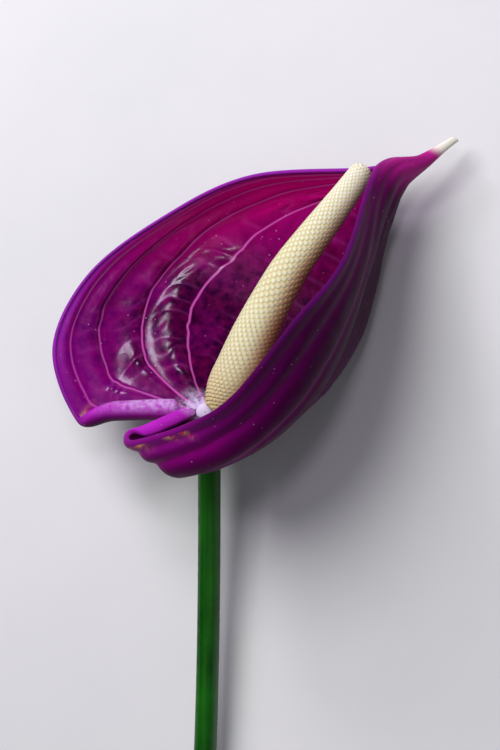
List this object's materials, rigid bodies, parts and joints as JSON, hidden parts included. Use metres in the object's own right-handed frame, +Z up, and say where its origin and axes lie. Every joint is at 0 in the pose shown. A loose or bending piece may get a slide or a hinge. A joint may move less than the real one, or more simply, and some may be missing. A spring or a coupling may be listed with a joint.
{
  "type": "anthurium flower",
  "caption": "Cut anthurium flower lying on its back: a folded purple spathe with a pale cusp round a cream spadix, on a green stalk.",
  "frame": {"origin": "on the surface that the flower lies on, under the centre of its bounding box", "axes": "+Z up, +Y along the stalk from its cut end to the flower, +X towards the cusp"},
  "size_m": [0.085, 0.2084, 0.049],
  "materials": {
    "spathe": "gloss",
    "spadix": "satin",
    "peduncle": "satin"
  },
  "bodies": {
    "root": {"spathe": "spathe", "spadix": "spadix", "peduncle": "peduncle"}
  },
  "joints": []
}
